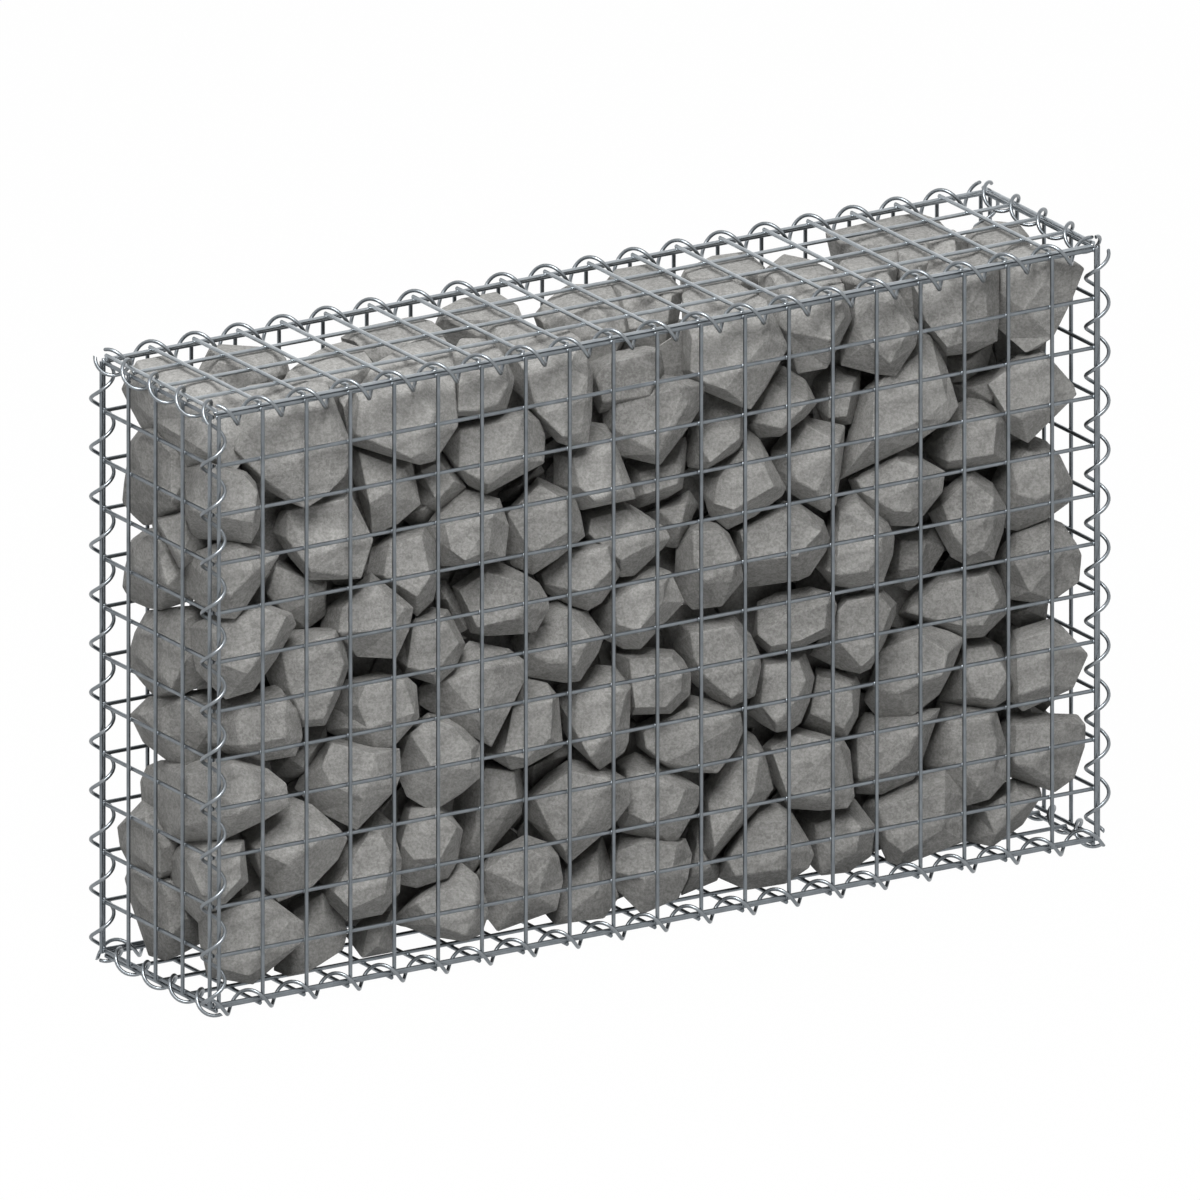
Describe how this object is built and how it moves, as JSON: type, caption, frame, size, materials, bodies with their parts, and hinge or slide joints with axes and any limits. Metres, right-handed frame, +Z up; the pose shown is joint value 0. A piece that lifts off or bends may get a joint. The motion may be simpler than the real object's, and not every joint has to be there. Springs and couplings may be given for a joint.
{
  "type": "gabion wall",
  "caption": "Free-standing gabion wall: a flat welded-wire basket, laced along its edges with spiral wires and packed with broken grey quarry stone.",
  "frame": {"origin": "middle of the underside, on the ground below the lower spirals", "axes": "+X along the wall, +Y from the front to the back, +Z up"},
  "size_m": [1.0312, 0.2286, 0.6265],
  "materials": {
    "mesh_wire": "galvanised, dull",
    "spiral_wire": "galvanised, bright",
    "stone": "broken, matt"
  },
  "bodies": {
    "root": {"front_panel": "mesh_wire", "back_panel": "mesh_wire", "left_end_panel": "mesh_wire", "right_end_panel": "mesh_wire", "lid_panel": "mesh_wire", "base_panel": "mesh_wire", "front_top_spiral": "spiral_wire", "front_bottom_spiral": "spiral_wire", "back_top_spiral": "spiral_wire", "back_bottom_spiral": "spiral_wire", "left_top_spiral": "spiral_wire", "left_bottom_spiral": "spiral_wire", "right_top_spiral": "spiral_wire", "right_bottom_spiral": "spiral_wire", "front_left_spiral": "spiral_wire", "front_right_spiral": "spiral_wire", "back_left_spiral": "spiral_wire", "back_right_spiral": "spiral_wire", "stone_course_1": "stone", "stone_course_2": "stone", "stone_course_3": "stone", "stone_course_4": "stone", "stone_course_5": "stone", "stone_course_6": "stone", "stone_course_7": "stone", "stone_course_8": "stone"}
  },
  "joints": []
}
